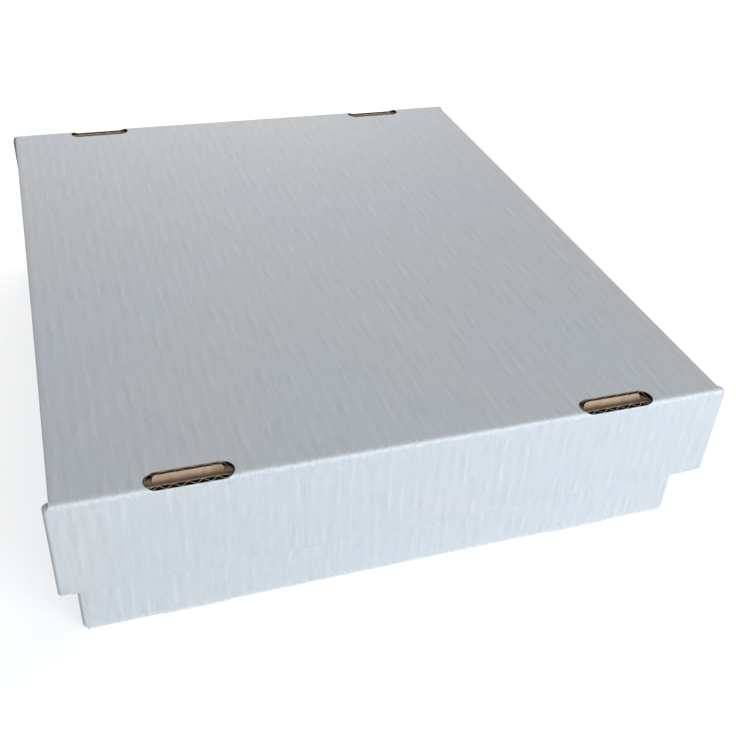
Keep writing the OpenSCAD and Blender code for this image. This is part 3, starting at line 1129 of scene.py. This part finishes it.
@made_once("materials", "cut_paper")
def cut_paper(name):
    """Cut edges of the liners and the core: raw brown fibre."""
    shade = settings("finish").cut
    finish, wiring = new_finish(name)
    fibre = group_node(wiring, fibre_group(), Fineness=1.6)
    marks = group_node(wiring, handling_and_highlight_group(), Reach=0.6)
    base = wiring.mixed(wiring.ramp(fibre["Cloud"], 0.3, 0.7), tone(shade, 0.72), tone(shade, 1.25))
    base = wiring.covered(base, fibre["Speck"], 0.7, tone(shade, 1.8))
    base = wiring.mixed(wiring.ramp(marks["Tone"], 0.35, 0.65, 0.0, 0.3), base, tone(shade, 1.3))
    roughness = wiring.ramp(fibre["Grain"], 0.3, 0.7, 0.8, 0.95)
    paper_shader(wiring, base, roughness, fibre["Grain"], 0.15 * MM, 0.2)
    return finish


@made_once("materials", "flute_tunnel")
def flute_tunnel(name):
    """Painted shade: paper inside the flutes, coloured nearly black because hardly any light gets
    there.
    """
    shade = settings("finish").shade_in_flutes
    finish, wiring = new_finish(name)
    fibre = group_node(wiring, fibre_group(), Fineness=1.0)
    base = wiring.mixed(wiring.ramp(fibre["Cloud"], 0.3, 0.7), tone(shade, 0.7), tone(shade, 1.3))
    roughness = wiring.ramp(fibre["Grain"], 0.3, 0.7, 0.85, 0.98)
    paper_shader(wiring, base, roughness, fibre["Grain"], 0.1 * MM, 0.1)
    return finish


def seen_directly(wiring):
    """1 for rays that should see the white background: from the camera, mirrors and glass."""
    rays = wiring.add("LightPath").outputs
    seen = wiring.math("ADD", rays["Is Camera Ray"], rays["Is Glossy Ray"])
    return wiring.math("ADD", seen, rays["Is Transmission Ray"], clamp=True)


def make_floor(stage):
    """A wide pale floor that keeps the box's soft shadow."""
    mesh = bpy.data.meshes.new("floor")
    corners = [(x * FLOOR_REACH, y * FLOOR_REACH, 0.0)
               for x, y in ((-1, -1), (1, -1), (1, 1), (-1, 1))]
    mesh.from_pydata(corners, [], [(0, 1, 2, 3)])
    floor = bpy.data.objects.new("floor", mesh)
    bpy.context.scene.collection.objects.link(floor)
    finish, wiring = new_finish("pale_floor")
    plain = wiring.add("BsdfDiffuse", {"Color": FLOOR_SHADE})
    place = wiring.add("NewGeometry").outputs["Position"]
    away = wiring.add("VectorMath", {0: place}, operation="LENGTH").outputs["Value"]
    lift = wiring.ramp(away, LIFT_NEAR, LIFT_FAR, stage.floor_lift, 1.0)
    glow = wiring.add("Emission", {
        "Color": PLAIN_WHITE,
        "Strength": wiring.math("MULTIPLY", seen_directly(wiring), lift)})
    both = wiring.add("AddShader", {0: plain.outputs["BSDF"], 1: glow.outputs["Emission"]})
    wiring.add("OutputMaterial", {"Surface": both.outputs["Shader"]})
    mesh.materials.append(finish)


def make_sky(stage):
    """Even studio light, and a white background where the floor ends."""
    world = bpy.data.worlds.new("studio")
    bpy.context.scene.world = world
    world.use_nodes = True
    wiring = Wiring(world.node_tree)
    soft = wiring.add("Background", {"Color": SKY_SHADE, "Strength": stage.sky})
    white = wiring.add("Background", {"Color": PLAIN_WHITE, "Strength": 1.0})
    either = wiring.add("MixShader", {
        0: seen_directly(wiring), 1: soft.outputs["Background"], 2: white.outputs["Background"]})
    wiring.add("OutputWorld", {"Surface": either.outputs["Shader"]})


def make_lamp(name, place, target, power, size, shade):
    """A square soft lamp that faces a point."""
    lamp = bpy.data.lights.new(name, "AREA")
    lamp.energy, lamp.size, lamp.color = power, size, shade
    holder = bpy.data.objects.new(name, lamp)
    holder.location = place
    holder.rotation_euler = (Vector(target) - Vector(place)).to_track_quat("-Z", "Y").to_euler()
    bpy.context.scene.collection.objects.link(holder)


def make_camera(stage):
    """The camera, left of the box's middle and turned and tilted towards it."""
    cam = bpy.data.cameras.new("camera")
    cam.lens, cam.sensor_width = stage.lens, SENSOR
    holder = bpy.data.objects.new("camera", cam)
    level = math.cos(stage.tilt)
    ahead = Vector((math.sin(stage.heading) * level, math.cos(stage.heading) * level,
                    -math.sin(stage.tilt)))
    right = ahead.cross(Vector((0.0, 0.0, 1.0))).normalized()
    above = right.cross(ahead)
    turn, lean = math.cos(stage.roll), math.sin(stage.roll)
    axes = Matrix((right * turn + above * lean, above * turn - right * lean, -ahead)).transposed()
    place = Vector((-stage.distance_left, -stage.distance_front, lid_high.z + stage.above_lid))
    holder.matrix_world = Matrix.Translation(place) @ axes.to_4x4()
    bpy.context.scene.collection.objects.link(holder)
    bpy.context.scene.camera = holder


def make_stage():
    """The floor, the light, the camera and the plain view transform."""
    stage = settings("stage")
    bpy.context.scene.view_settings.view_transform = "Standard"
    make_floor(stage)
    make_sky(stage)
    middle = (0.0, 0.0, lid_high.z / 2)
    for name, (place, width, shade) in LAMPS.items():
        make_lamp(name, place, middle, getattr(stage, name), width, shade)
    make_camera(stage)


class CARDBOX_OT_tray(bpy.types.Operator):
    """Folds the tray"""
    bl_idname = "card_box.tray"
    bl_label = "Tray"

    def execute(self, context):
        make_tray()
        return {"FINISHED"}


class CARDBOX_OT_lid(bpy.types.Operator):
    """Folds the lid"""
    bl_idname = "card_box.lid"
    bl_label = "Lid"

    def execute(self, context):
        make_lid()
        return {"FINISHED"}


class CARDBOX_OT_dividers(bpy.types.Operator):
    """Folds the dividers between the card rows"""
    bl_idname = "card_box.dividers"
    bl_label = "Row dividers"

    def execute(self, context):
        for node in divider_nodes():
            make_divider(node)
        return {"FINISHED"}


class CARDBOX_OT_stage(bpy.types.Operator):
    """Sets up the floor, the light and the camera"""
    bl_idname = "card_box.stage"
    bl_label = "Stage"

    def execute(self, context):
        make_stage()
        return {"FINISHED"}


class CARDBOX_PT_panel(bpy.types.Panel):
    """Lists the box's settings and the pieces to make"""
    bl_label = "Card Storage Box"
    bl_space_type = "VIEW_3D"
    bl_region_type = "UI"
    bl_category = "Card Box"

    def draw(self, context):
        for operator in OPERATORS:
            self.layout.operator(operator.bl_idname)
        for name, group in SETTINGS.items():
            box = self.layout.box()
            box.label(text=name.capitalize())
            for setting in group.__annotations__:
                box.prop(settings(name), setting)


SETTINGS = {
    "board": BoardSettings,
    "fold": FoldSettings,
    "divider": DividerSettings,
    "finish": FinishSettings,
    "stage": StageSettings,
}
OPERATORS = (CARDBOX_OT_tray, CARDBOX_OT_dividers, CARDBOX_OT_lid, CARDBOX_OT_stage)


def register():
    for group in (*SETTINGS.values(), *OPERATORS, CARDBOX_PT_panel):
        bpy.utils.register_class(group)
    for name, group in SETTINGS.items():
        setattr(bpy.types.Scene, "card_box_" + name, bpy.props.PointerProperty(type=group))


def unregister():
    for name in SETTINGS:
        delattr(bpy.types.Scene, "card_box_" + name)
    for group in (CARDBOX_PT_panel, *reversed(OPERATORS), *reversed(SETTINGS.values())):
        bpy.utils.unregister_class(group)


def main():
    """Makes the pieces and the stage."""
    register()
    bpy.ops.card_box.tray()
    bpy.ops.card_box.dividers()
    bpy.ops.card_box.lid()
    bpy.ops.card_box.stage()


if __name__ == "__main__":
    main()
